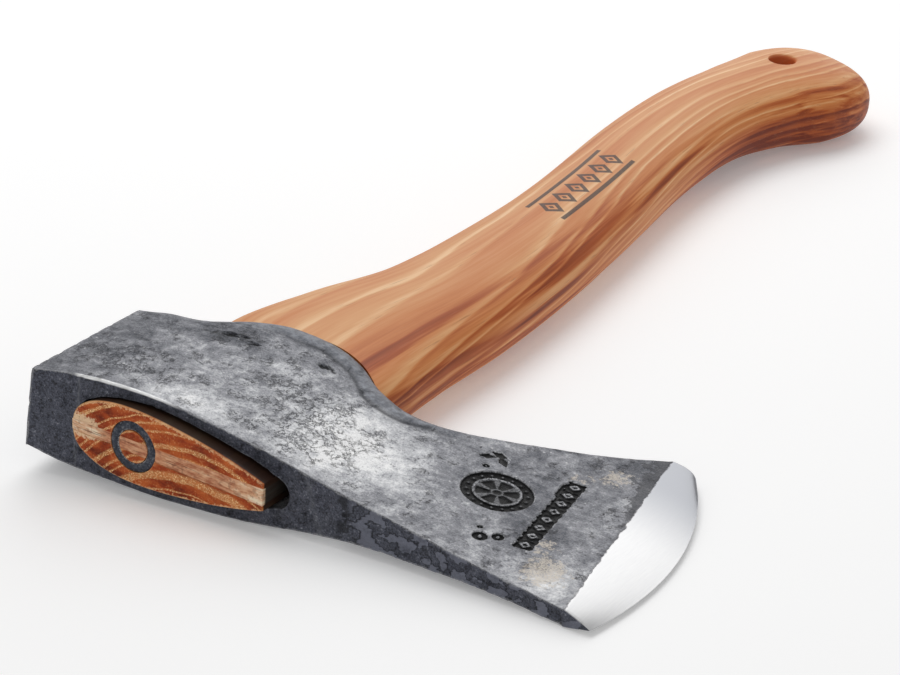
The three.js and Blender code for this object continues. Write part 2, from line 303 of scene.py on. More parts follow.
def head_stations():
    """Start, finish, eye openings and taper to the edge of every head section."""
    (eye_x0, eye_h0), (eye_x1, eye_h1) = eye_stations()
    stations = []

    def add(x0, x1, h0=0.0, h1=0.0):
        stations.append((x0, float(eye_end_y(x0)), x1, float(handle_end_y(x1)), h0, h1, 0.0))

    for t in np.linspace(0, 1, 18)[:-1]:
        add(POLL_X * (1 - t) + eye_x0[0] * t, POLL_X * (1 - t) + eye_x1[0] * t)
    for x0, h0, x1, h1 in zip(eye_x0, eye_h0, eye_x1, eye_h1):
        add(x0, x1, h0, h1)
    # From the eye to the bevel border, closest together where the marks are stamped.
    runs = (0, 24, 24), (24, 60, 108), (60, 74, 26)
    steps = np.concatenate([np.linspace(*run)[1:] for run in runs])
    toe0, heel0 = eye_x0[-1], eye_x1[-1]
    for t in steps / steps[-1]:
        x0 = toe0 + (BORDER_TOE_X - toe0) * t
        heel = WAIST_X + (x0 - WAIST_X) * (BORDER_HEEL_X - WAIST_X) / (BORDER_TOE_X - WAIST_X)
        blend = float(smoothstep(t, 0, 0.2))
        straight = heel0 + (BORDER_HEEL_X - heel0) * t
        add(x0, straight * (1 - blend) + heel * blend)
    # From the border to the edge; at the heel along a parabola through its beak.
    border = np.reshape(stations[-1][:4], (2, 2))
    middle = np.array([(border[0] + EDGE_TOE) / 2, HEEL_BEAK])
    edge = np.array([EDGE_TOE, EDGE_HEEL])
    for s in 1 - (1 - np.linspace(0, 1, 28)[1:]) ** 1.15:
        place = (1 - s) * (1 - 2 * s) * border + 4 * s * (1 - s) * middle + s * (2 * s - 1) * edge
        stations.append((*place.ravel(), 0.0, 0.0, s))
    table = np.array(stations)
    return table[:, :2], table[:, 2:4], *table[:, 4:].T


def head_rows(across, flare):
    """The upper half of every head section, as points from one Z = 0 line to the other.

    across is how many rows cover the cheek; flare opens the mouth of the eye, in mm.
    """
    start, finish, open0, open1, thin = head_stations()
    open0 = open0 + flare * (window(start[:, 0], -34, -6, 16, 24) * (open0 > 0))
    chord = finish - start
    out = np.stack([chord[:, 1], -chord[:, 0]], -1)
    out /= np.linalg.norm(out, axis=1)[:, None]
    height = np.linalg.norm(chord, axis=1)

    def plan(v):
        v = np.reshape(v, (-1, 1))
        return start + chord * v + out * (EDGE_BULGE * thin[:, None] * 4 * v * (1 - v))

    def thickness(v):
        base = cheek(np.where(thin > 0, BORDER_TOE_X, toe_x(plan(v)[:, 0], v)))
        return base * (1 - thin) + 0.12 * np.sin(math.pi * thin)

    t0, t1 = thickness(0), thickness(1)
    # Radius of the eye-end arris, then the width and the drop of the handle-end one.
    r0 = np.minimum(0.45 + 0.45 * window(start[:, 0], -40, -30, 0, 16), 0.4 * t0)
    lug = window(finish[:, 0], -40, -24, 22, 44)
    r1y = np.minimum(0.9 + 5.2 * lug, 3.0 * t1)
    r1z = np.minimum(0.7 + 1.5 * lug, 0.5 * t1)
    rows = []

    def add(v, z):
        rows.append(np.column_stack([plan(v), z]))

    for f in np.linspace(0, 1, BAND + 1)[:-1]:
        add(0, open0 + (t0 - r0 - open0) * f)
    for a in np.linspace(0, math.pi / 2, ARC + 1)[:-1]:
        add(r0 * (1 - math.cos(a)) / height, t0 - r0 * (1 - math.sin(a)))
    v_low, v_high = r0 / height, 1 - r1y / height
    for f in np.linspace(0, 1, across + 1)[:-1]:
        v = v_low + (v_high - v_low) * f
        add(v, thickness(v))
    for a in np.linspace(0, math.pi / 2, 3 * ARC + 1)[:-1]:
        v = 1 - r1y * (1 - math.sin(a)) / height
        add(v, thickness(v) - r1z * (1 - math.cos(a)))
    for f in np.linspace(0, 1, BAND + 1):
        add(1, t1 - r1z + (open1 - t1 + r1z) * f)
    grid = np.stack(rows, 1)
    grid[..., 2] = np.maximum(grid[..., 2], 0)
    return grid, open0, open1


def head_shell():
    shell = Shell()
    upper, open0, open1 = head_rows(ACROSS_UPPER, 0.55)
    lower = head_rows(ACROSS_LOWER, 0.15)[0] * (1, 1, -1)
    for rows in (upper, lower):
        rows[..., 0] += POLL_SKEW * (1 - smoothstep(rows[..., 0], POLL_X, -37)) * rows[..., 2]
    shell.grid(upper)
    shell.grid(lower, flip=True)
    eye = np.flatnonzero((open0 > 1e-6) | (open1 > 1e-6))
    eye = np.arange(eye[0] - 1, eye[-1] + 2)
    for rows, flip in ((upper, True), (lower, False)):
        near, far = rows[eye, 0], rows[eye, -1]
        t = np.linspace(0, 1, WALL + 1)[None, :, None]
        shell.grid(near[:, None] * (1 - t) + far[:, None] * t, flip=flip)
    loop = np.concatenate([upper[0], lower[0, -2:0:-1]])
    centre = loop.mean(0)
    rings = [loop]
    for a in np.linspace(0, math.pi / 2, 5)[1:]:
        rings.append(poll_ring(loop, centre, POLL_ROUNDING * (1 - math.cos(a))))
    for inset in np.linspace(POLL_ROUNDING, 10.2, 16)[1:]:
        rings.append(poll_ring(loop, centre, inset))
    shell.grid(np.stack(rings), wrap=True)
    return shell


def poll_ring(loop, centre, inset):
    """The poll outline drawn in by the given amount on every side."""
    half = np.abs(loop - centre).max(0)
    scale = 1 - inset / half[1:3]
    ring = loop.copy()
    ring[:, 1:3] = centre[1:3] + (loop[:, 1:3] - centre[1:3]) * scale
    ring[:, 0] = POLL_X + POLL_SKEW * ring[:, 2]
    return ring


# ---- head: stamped marks ----

MARK_DEPTH = 0.55
ROSETTE = (62.4, 21.8)
BAR = (76.6, 21.6)
BAR_HALF_LENGTH, BAR_HALF_WIDTH = 16.6, 2.2
BAR_ALONG = (-0.146, 0.989)
DOTS = [(69.4, 3.4, 1.5), (72.6, 5.8, 1.2), (67.4, 6.6, 0.6), (54.6, 29.4, 0.7)]
LEAVES = [(52.6, 33.2, 30), (54.4, 35.6, 0), (56.6, 33.6, -40)]


def soft_inside(distance, edge=0.2):
    """1 inside a shape and 0 outside, from a signed distance in mm."""
    return 1 - smoothstep(distance, -edge, edge)


def lozenge(x, y, half_x, half_y):
    return (np.abs(x) / half_x + np.abs(y) / half_y - 1) * min(half_x, half_y)


def rosette_depth(x, y):
    """A sunk ring of beads round a field of raised petals."""
    rx, ry = x - ROSETTE[0], (y - ROSETTE[1]) * 1.06
    radius, angle = np.hypot(rx, ry), np.arctan2(ry, rx)
    field = 0.45 * soft_inside(radius - 5.6)
    ring = soft_inside(np.abs(radius - 7.2) - 1.3)
    turn = np.mod(angle * 18 / (2 * math.pi), 1) - 0.5
    beads = soft_inside(np.hypot(radius - 7.1, turn * 2.4) - 0.5)
    petal = np.abs(np.mod(angle * 6 / (2 * math.pi), 1) - 0.5) * 2
    petals = soft_inside(np.maximum(np.abs(radius - 3.3) - 1.6, (petal - 0.6) * radius * 0.5))
    hub = soft_inside(radius - 0.9)
    depth = np.maximum(field, ring)
    return depth - 0.55 * beads + 0.5 * petals * (radius < 5.6) + 0.4 * hub


def bar_place(x, y):
    """Distances along and across the stamped bar from its middle."""
    bx, by = x - BAR[0], y - BAR[1]
    return bx * BAR_ALONG[0] + by * BAR_ALONG[1], bx * BAR_ALONG[1] - by * BAR_ALONG[0]


def bar_depth(x, y):
    """A sunk bar with a row of raised lozenges and upright ribs between them."""
    s, w = bar_place(x, y)
    ragged = 0.16 * np.sin(2.3 * s) + 0.12 * np.sin(5.1 * s + 1)
    side = np.abs(w + 0.3 * ragged) - BAR_HALF_WIDTH - ragged
    bar = np.maximum(np.abs(s) - BAR_HALF_LENGTH, side)
    pitch = 4.15
    cell = (np.mod(s / pitch, 1) - 0.5) * pitch
    studs = soft_inside(lozenge(cell, w, 1.35, 1.6))
    core = soft_inside(lozenge(cell, w, 0.5, 0.6))
    ribs = soft_inside(np.maximum(np.abs(np.abs(cell) - pitch / 2) - 0.16, np.abs(w) - 1.5))
    return soft_inside(bar) * (1 - 0.75 * studs + 0.6 * core - 0.6 * ribs)


def mark_depth(x, y):
    """Depth in 0..1 of the stamped marks: a rosette, a lozenge bar, dots and leaves."""
    depth = np.maximum(rosette_depth(x, y), bar_depth(x, y))
    for cx, cy, size in DOTS:
        ring = np.abs(np.hypot(x - cx, y - cy) - 0.75 * size) - 0.4 * size
        depth = np.maximum(depth, soft_inside(ring))
    for cx, cy, degrees in LEAVES:
        c, s = math.cos(math.radians(degrees)), math.sin(math.radians(degrees))
        lx, ly = (x - cx) * c + (y - cy) * s, (y - cy) * c - (x - cx) * s
        depth = np.maximum(depth, 0.8 * soft_inside(lozenge(lx, ly, 2.4, 1.2)))
    stroke = np.maximum(np.abs(x - 72.4 + 0.15 * (y - 33)) - 0.42, np.abs(y - 33) - 2.6)
    return np.clip(np.maximum(depth, soft_inside(stroke)), 0, 1)


# ---- head: surface ----

# Broad patches of the upper cheek that are brighter or darker than the rest, in mm: partly the
# scale's own tone, partly a painted reflection, lightest in the hollow of the waist near x 28 and
# darker towards the poll.
# x, y, half size along x, half size along y, strength.
TONE_AND_REFLECTION_PATCHES = [
    (-40, 12, 20, 34, -0.17),
    (-7, -1, 11, 5, 0.3),
    (4, 7, 22, 12, 0.06),
    (28, 12, 13, 15, 0.5),
    (42, 12, 9, 9, 0.16),
    (68, 24, 20, 24, -0.17),
    (78, 12, 9, 8, -0.14),
    (91, -3, 8, 8, 0.3),
    (82, 54, 9, 7, -0.2),
    (66, 8, 14, 7, 0.16),
    (-18, 30, 9, 6, -0.3),
    (8, 40, 26, 6, -0.16),
]
# Where the scale has broken up into fine cracks.
CRACKLE_PATCHES = [
    (20, 10, 13, 13, 1), (-30, 6, 14, 9, 0.8), (8, 18, 12, 8, 0.6), (-18, 31, 10, 6, 0.9),
]
STAIN_PATCHES = [
    (88, 0, 7, 8, 0.85), (82, 10, 4, 5, 0.5), (80, 46, 5, 6, 0.7), (73, 40, 4, 4, 0.5),
]
# x, y and radius of each pit, in mm.
PITS = [
    (5.5, 33.8, 1.3), (7.2, 34.4, 0.9), (8.6, 33.6, 0.7),
    (-19, 30, 1.5), (-15, 31.5, 1.1), (-11.5, 29.8, 0.9),
]


def patches(points, table):
    """Sum of soft round patches at each point."""
    total = np.zeros(len(points))
    for x, y, half_x, half_y, strength in table:
        reach = ((points[:, 0] - x) / half_x) ** 2 + ((points[:, 1] - y) / half_y) ** 2
        total += strength * np.exp(-reach * 1.1)
    return total


def lug_band(points):
    """Masks of the rounded band along the lug and of the crease on its inner side."""
    x, y = points[:, 0], points[:, 1]
    depth = handle_end_y(np.clip(x, -50, 85)) - y
    depth = depth + 0.5 * np.sin(x * 0.21) + 0.25 * np.sin(x * 0.53 + 1)
    here = window(x, -32, -12, 34, 46)
    width = 6.6 - 2.6 * smoothstep(x, 22, 38)
    band = here * (1 - smoothstep(depth, width - 1.2, width - 0.2))
    crease = here * smoothstep(x, -20, 6) * np.exp(-(((depth - width) / 0.8) ** 2))
    dip = here * np.exp(-(((depth - width - 2.2) / 2.6) ** 2))
    return band, crease, dip


def edge_distance(points):
    """Distance to the nearest sharp arris of the head, in mm, up to 6."""
    x, y, z = points.T
    thick = cheek(np.clip(x, -50, 99))
    to_cheek = np.abs(np.abs(z) - thick)
    to_eye_end = np.abs(y - eye_end_y(np.clip(x, -50, 99)))
    to_poll = np.abs(x - POLL_X - POLL_SKEW * z)
    to_rim = np.abs(y - handle_end_y(np.clip(x, -50, 85)))
    pairs = [(to_cheek, to_eye_end), (to_cheek, to_poll), (to_eye_end, to_poll), (to_rim, to_poll)]
    nearest = np.min([np.hypot(a, b) for a, b in pairs], axis=0)
    return np.minimum(nearest, 6)


def make_head():
    data = close_ends(head_shell().mesh("axe_head"))
    points, normals = get_points(data), get_points(data, "normal")
    x, y, z = points.T
    past_border = (x - BORDER_TOE_X) * 0.982 + (y + 10) * 0.184
    on_cheek = smoothstep(np.abs(normals[:, 2]), 0.6, 0.9)
    upper_cheek = on_cheek * (z > 0)
    beside_end = (np.abs(y - eye_end_y(np.minimum(x, 99))) < 1.5) | (x > 95)
    end_face = smoothstep(-normals[:, 1], 0.5, 0.85) * beside_end
    poll = smoothstep(-normals[:, 0], 0.6, 0.9) * (x < POLL_X + 2.5)
    band, crease, dip = lug_band(points)
    marks = mark_depth(x, y) * upper_cheek
    marks_wide = soft_marks(x, y) * upper_cheek
    pits = np.zeros(len(x))
    for cx, cy, size in PITS:
        ragged = np.hypot(x - cx, (y - cy) * 1.4) + 0.35 * np.sin(3 * x) * np.cos(4 * y)
        pits = np.maximum(pits, soft_inside(ragged - size, 0.3) * upper_cheek)
    creases = np.exp(-(((x + 34.5 - 0.04 * z) / 0.35) ** 2))
    creases += np.exp(-(((x - 31 + 0.3 * z) / 0.5) ** 2))
    flakes = smoothstep(fractal(points * (0.7, 1, 1), 2.6, 3, 9.4), -0.02, 0.07)
    flakes *= end_face * smoothstep(x, 34, 46)
    calm = 1 - smoothstep(past_border, -1.2, 0.4)
    lumps = 0.17 * fractal(points, 17.0, 2, 3.7) + 0.06 * fractal(points, 4.5, 3, 11.3)
    rough = 0.045 * fractal(points, 1.4, 2, 5.1)
    push = (lumps + rough * (1 - band)) * calm - 0.17 * calm
    push -= on_cheek * (0.3 * crease + 0.26 * dip)
    push -= MARK_DEPTH * marks - 0.07 * (marks_wide - marks).clip(0) + 0.45 * pits
    push += 0.12 * flakes - 0.14 * end_face * creases
    push -= 0.22 * smoothstep(fractal(points, 2.1, 3, 2.2), 0.18, 0.4) * (end_face + poll) * calm
    set_points(data, points + normals * push[:, None])
    add_attributes(
        data,
        axe=points,
        zones=np.stack([end_face, band, poll, marks], -1),
        relief=np.stack([pits, crease * on_cheek, flakes, creases * end_face], -1),
        border=past_border,
        tone=0.5 + patches(points, TONE_AND_REFLECTION_PATCHES),
        crackle=patches(points, CRACKLE_PATCHES),
        stain=patches(points, STAIN_PATCHES),
        arris=edge_distance(points),
    )
    return new_object("forged_head", data)


def soft_marks(x, y):
    """A wide soft halo of the marks, where the stamp has raised the metal a little."""
    rosette = np.hypot(x - ROSETTE[0], y - ROSETTE[1]) - 9
    s, w = bar_place(x, y)
    bar = np.maximum(np.abs(s) - BAR_HALF_LENGTH, np.abs(w) - BAR_HALF_WIDTH) - 0.6
    return np.maximum(soft_inside(rosette, 0.6), soft_inside(bar, 0.6))


# ---- handle ----

AROUND = 56  # points round half a handle section
SLIM_HALF_WIDTH = 18  # of the grip, mm

station_fields = [line_through(list(enumerate(column))) for column in zip(*STATIONS)]


def closed_loop(upper):
    """A whole section from its upper half."""
    return np.concatenate([upper, upper[::-1] * (1, 1, -1)])


def handle_section(centre, across, half_width, half_thick, square):
    along, rise = section(AROUND, square)
    return closed_loop(np.column_stack([
        centre[0] + across[0] * along * half_width,
        centre[1] + across[1] * along * half_width,
        rise * half_thick,
    ]))


def tongue_section(y, grow=0.0):
    x, z = tongue_outline(y, AROUND, grow)
    return closed_loop(np.column_stack([x, np.full(AROUND, y), z]))


def shaft_rows():
    rows = []
    last = len(STATIONS) - 1
    knob = np.array(KNOB_AXIS) / np.hypot(*KNOB_AXIS)
    for place in np.linspace(0, last, last * 22 + 1):
        x, y, half_width, half_thick, square = [float(f(place)) for f in station_fields]
        low, high = max(place - 0.05, 0), min(place + 0.05, last)
        ahead = np.array([float(f(high) - f(low)) for f in station_fields[:2]])
        ahead /= np.hypot(*ahead)
        turn = float(smoothstep(place, 0, 1.5))
        ahead = np.array([0, 1]) * (1 - turn) + ahead * turn
        to_knob = float(smoothstep(place, last - 1, last))
        ahead = ahead * (1 - to_knob) + knob * to_knob
        ahead /= np.hypot(*ahead)
        rows.append(handle_section((x, y), (ahead[1], -ahead[0]), half_width, half_thick, square))
    x, y, half_width, half_thick, square = STATIONS[-1]
    power, across = 2 / KNOB_ROUNDNESS, (knob[1], -knob[0])
    for angle in np.radians(np.linspace(0, 89.2, 34)[1:]):
        reach = KNOB_LENGTH * math.sin(angle) ** power
        shrink = math.cos(angle) ** power
        centre = (x + knob[0] * reach, y + knob[1] * reach)
        half = half_width * shrink, half_thick * shrink
        rows.append(handle_section(centre, across, *half, square))
    return rows


def end_rings(loop, depth, count):
    """Rings that fill a flat end: the loop drawn in towards its long middle line."""
    rings = []
    low, high = loop[:, 0].min(), loop[:, 0].max()
    for t in np.linspace(0, 1, count + 1)[1:]:
        ring = loop.copy()
        spine = np.clip(loop[:, 0], low + depth, high - depth)
        ring[:, 0] = loop[:, 0] * (1 - t) + spine * t
        ring[:, 2] = loop[:, 2] * (1 - t * 0.995)
        rings.append(ring)
    return rings[::-1]


def long_tongue(name, grow):
    """A closed tongue that runs past both ends of the eye, for cutting."""
    shell = Shell()
    places = [TONGUE_EYE["y"] - 13, TONGUE_EYE["y"], 6, 20, TONGUE_RIM["y"], TONGUE_RIM["y"] + 27]
    shell.grid([tongue_section(y, grow) for y in places], wrap=True)
    return new_object(name, close_ends(shell.mesh(name)))


def close_ends(data):
    """Fills every open border of a mesh with one flat face."""
    bm = bmesh.new()
    bm.from_mesh(data)
    bmesh.ops.holes_fill(bm, edges=[e for e in bm.edges if e.is_boundary], sides=0)
    bmesh.ops.recalc_face_normals(bm, faces=bm.faces)
    bm.to_mesh(data)
    bm.free()
    return data


SHOULDER_GAP = 0.25  # between the lug and the handle's shoulder, mm


def shoulder_cutter():
    """The head blank without its eye, so that the handle's shoulder clears the lug."""
    loops = []
    for x in np.linspace(-49, 36, 60):
        depth = handle_end_y(x) + SHOULDER_GAP - eye_end_y(x)
        y = eye_end_y(x) + depth * np.linspace(0, 1, 7)
        loops.append(closed_loop(np.column_stack([np.full(7, x), y, np.full(7, cheek(x) + 0.5)])))
    shell = Shell()
    shell.grid(loops, wrap=True)
    blank = new_object("shoulder_cutter", close_ends(shell.mesh("shoulder_cutter")))
    carve(blank, long_tongue("tongue_keep", 0.05))
    return blank


FIT_GAP = 0.04  # of the kerf and the ring's groove, mm
OVERRUN = 8  # of the kerf cutter past the tongue, mm
GROOVE_OVERRUN = 5  # of the groove cutter out of the end face, mm


def ring_profile(gap):
    """Radius and y of the ring wedge, or with a gap of its groove."""
    face = TONGUE_FACE_Y - (GROOVE_OVERRUN if gap else 0)
    tip = TONGUE_FACE_Y + RING_DEPTH + gap
    middle = (RING_OUTER + RING_INNER) / 2
    return [
        (RING_INNER - gap, face),
        (RING_OUTER + gap, face),
        (RING_OUTER + gap, TONGUE_FACE_Y),
        (middle + RING_TIP_WALL / 2 + gap, tip),
        (middle - RING_TIP_WALL / 2 - gap, tip),
        (RING_INNER - gap, TONGUE_FACE_Y),
    ]


def turned(name, profile, x, axis="Y", count=96):
    """A profile of (radius, height) turned about a line parallel to an axis.

    The profile closes on itself, or on the axis when it starts there.
    """
    shell = Shell()
    on_axis = profile[0][0] == 0
    closed = np.array(profile if on_axis else [*profile, profile[0]], float)
    rows = []
    for angle in np.linspace(0, 2 * math.pi, count + 1):
        radius, height = closed.T
        a, b = radius * math.cos(angle), radius * math.sin(angle)
        rows.append(np.column_stack([x + a, height, b] if axis == "Y" else [x + a, b, height]))
    shell.grid(np.stack(rows))
    return new_object(name, shell.mesh(name))


def wedge_body(name, gap, long_steps=1, thick_steps=1):
    """The wood wedge before trimming, or with a gap the kerf that holds it."""
    shell = Shell()
    top = TONGUE_FACE_Y - (OVERRUN if gap else 0)
    tip = TONGUE_FACE_Y + WEDGE_DEPTH + gap
    back, front = TONGUE_EYE["back"] - OVERRUN, TONGUE_EYE["front"] + OVERRUN
    xs, share = np.linspace((back, 0), (front, 1), long_steps + 1).T
    sheets = []
    for y in (top, tip):
        t = (y - TONGUE_FACE_Y) / WEDGE_DEPTH
        half = (WEDGE_FACE * (1 - t) + WEDGE_TIP * t) / 2
        z = half / WEDGE_FLARE * (1 - share) + half * WEDGE_FLARE * share + gap
        lines = [np.column_stack([xs, np.full_like(xs, y), z * k])
                 for k in np.linspace(1, -1, thick_steps + 1)]
        sheets.append(np.stack(lines))
    top_grid, tip_grid = sheets
    t = np.linspace(0, 1, 9)[:, None, None]
    shell.grid(top_grid)
    shell.grid(tip_grid, flip=True)
    for side in (0, -1):
        shell.grid(top_grid[side] * (1 - t) + tip_grid[side] * t, flip=side == -1)
        shell.grid(top_grid[:, side] * (1 - t) + tip_grid[:, side] * t, flip=side == 0)
    return new_object(name, shell.mesh(name))


DRILL_REACH, DRILL_FLANGE = 20, 4  # past the handle and past the mouth's lip, mm
MOUTH_Z, MOUTH_LIP = 10.4, 1.3  # where the bore starts to open, and by how much, mm


def hole_cutter():
    """The lanyard drill with softly rounded mouths."""
    flange = HOLE_RADIUS + MOUTH_LIP + DRILL_FLANGE
    mouth = [
        (HOLE_RADIUS + MOUTH_LIP * (1 - math.cos(a)), -MOUTH_Z - MOUTH_LIP * math.sin(a))
        for a in np.linspace(math.pi / 2, 0, 8)
    ]
    half = [(0, -DRILL_REACH), (flange, -DRILL_REACH), *mouth]
    profile = half + [(radius, -height) for radius, height in half[::-1]]
    cutter = turned("lanyard_cutter", profile, 0, axis="Z", count=64)
    set_points(cutter.data, get_points(cutter.data) + (HOLE_X, HOLE_Y, 0))
    return cutter


def end_grain_lift(points, proud=0.0):
    """How far the sawn end face rises at each point, in mm, and how proud it stands."""
    on_end = 1 - smoothstep(points[:, 1], TONGUE_FACE_Y + 0.05, TONGUE_FACE_Y + 0.3)
    flat = points * (1, 0, 1)
    return on_end * (0.11 * fractal(flat, 0.9, 2, 8.2) + 0.14 * fractal(flat, 6.0, 2, 1.9) + proud)


def make_handle():
    face_ring = tongue_section(TONGUE_FACE_Y)
    rows = end_rings(face_ring, 9.5, 22)
    rows += [face_ring * (0.992, 1, 0.965)]
    rows += [tongue_section(y) for y in np.linspace(TONGUE_FACE_Y + 0.35, TONGUE_RIM["y"], 46)]
    shaft, lead = shaft_rows(), rows[-1]
    rows += [lead * (1 - t) + shaft[0] * t for t in np.linspace(0, 1, 8)[1:-1]]
    shell = Shell()
    shell.grid(rows + shaft, wrap=True)
    piece = new_object("hickory_handle", close_ends(shell.mesh("handle")))
    carve(piece, shoulder_cutter())
    carve(piece, wedge_body("kerf_cutter", FIT_GAP))
    carve(piece, turned("groove_cutter", ring_profile(FIT_GAP), RING_X))
    carve(piece, hole_cutter())
    data = piece.data
    points, normals = get_points(data), get_points(data, "normal")
    sway = (0.1 * fractal(points, 22.0, 2, 6.6) - 0.05) * smoothstep(points[:, 1], 42, 60)
    moved = points + normals * sway[:, None]
    moved[:, 1] += end_grain_lift(points)
    set_points(data, moved)
    place = shaft_place(points)
    reach = np.hypot(points[:, 0] - HOLE_X, points[:, 1] - HOLE_Y)
    add_attributes(
        data,
        axe=points,
        shaft=place,
        flow=grain_flow(points, place[:, 1]),
        end_grain=smoothstep(-normals[:, 1], 0.6, 0.85) * (points[:, 1] < 5),
        rim=face_rim(points),
        bore=1 - smoothstep(reach, HOLE_RADIUS + 0.1, HOLE_RADIUS + 0.6),
    )
    return piece


def face_rim(points):
    """Roughly how far each point is from the outline of the tongue's face, in mm."""
    outline = tongue_section(TONGUE_FACE_Y)[:, [0, 2]]
    flat = points[:, [0, 2]]
    distance = np.full(len(points), 9.0)
    near = np.flatnonzero(points[:, 1] < TONGUE_FACE_Y + 2)
    for start in range(0, len(near), 2000):
        part = near[start:start + 2000]
        gaps = flat[part][:, None] - outline[None]
        distance[part] = np.sqrt((gaps**2).sum(-1).min(1))
    return distance


def shaft_place(points):
    """How far along the handle each point lies, how far across, and its height, in mm."""
    places = np.linspace(0, len(STATIONS) - 1, 400)
    centre = np.column_stack([f(places) for f in station_fields[:2]])
    knob_tip = centre[-1] + np.array(KNOB_AXIS) * KNOB_LENGTH
    centre = np.vstack([[centre[0, 0], TONGUE_FACE_Y], centre, knob_tip])
    length = np.concatenate([[0], np.cumsum(np.linalg.norm(np.diff(centre, axis=0), axis=1))])
    y = np.clip(points[:, 1], centre[0, 1], centre[-1, 1])
    along = np.interp(y, centre[:, 1], length)
    across = points[:, 0] - np.interp(y, centre[:, 1], centre[:, 0])
    return np.column_stack([along, across, points[:, 2]])


def grain_flow(points, across):
    """Distance across the handle, squeezed where it is wide so that the grain fans out."""
    _, y, half_width = np.array(STATIONS)[:, :3].T
    width = line_through(list(zip(y, half_width)))(np.clip(points[:, 1], y[0], y[-1]))
    squeeze = SLIM_HALF_WIDTH / width
    return across * (1 + (squeeze - 1) * smoothstep(points[:, 1], 0, 38))


def make_wood_wedge():
    piece = wedge_body("wood_wedge_blade", 0.0, long_steps=150, thick_steps=10)
    carve(piece, long_tongue("tongue_trim", -0.05), "INTERSECT")
    carve(piece, turned("wedge_groove", ring_profile(FIT_GAP), RING_X))
    points = get_points(piece.data)
    moved = points.copy()
    moved[:, 1] += end_grain_lift(points, 0.05)
    set_points(piece.data, moved)
    add_attributes(piece.data, axe=points)
    return piece


def make_ring_wedge():
    bevel = 0.35
    face = TONGUE_FACE_Y + 0.1
    tip = TONGUE_FACE_Y + RING_DEPTH
    middle = (RING_OUTER + RING_INNER) / 2
    corner = [(0, bevel), (0.1, 0.1), (bevel, 0)]
    profile = [(RING_INNER + u, face + v) for u, v in corner]
    profile += [(middle, face - 0.06)]
    profile += [(RING_OUTER - u, face + v) for u, v in corner[::-1]]
    profile += [(middle + RING_TIP_WALL / 2, tip), (middle - RING_TIP_WALL / 2, tip)]
    piece = turned("ring_wedge_band", profile, RING_X, count=128)
    data = piece.data
    points, normals = get_points(data), get_points(data, "normal")
    push = 0.04 * fractal(points, 2.2, 2, 4.4) - 0.03
    set_points(data, points + normals * push[:, None])
    add_attributes(data, axe=points)
    return piece


# ---- material helpers ----


def tint(red, green, blue):
    """A colour from 0-255 display values, as linear RGBA."""
    channels = [c / 255 for c in (red, green, blue)]
    linear = [c / 12.92 if c <= 0.04045 else ((c + 0.055) / 1.055) ** 2.4 for c in channels]
    return (*linear, 1)


class Value:
    """A value inside a material: a node socket that takes part in sums."""

    def __init__(self, paint, socket):
        self.paint, self.socket = paint, socket

    def __add__(self, other):
        return self.paint.math("ADD", self, other)

    def __sub__(self, other):
        return self.paint.math("SUBTRACT", self, other)

    def __rsub__(self, other):
        return self.paint.math("SUBTRACT", other, self)

    def __mul__(self, other):
        return self.paint.math("MULTIPLY", self, other)

    def __abs__(self):
        return self.paint.math("ABSOLUTE", self)


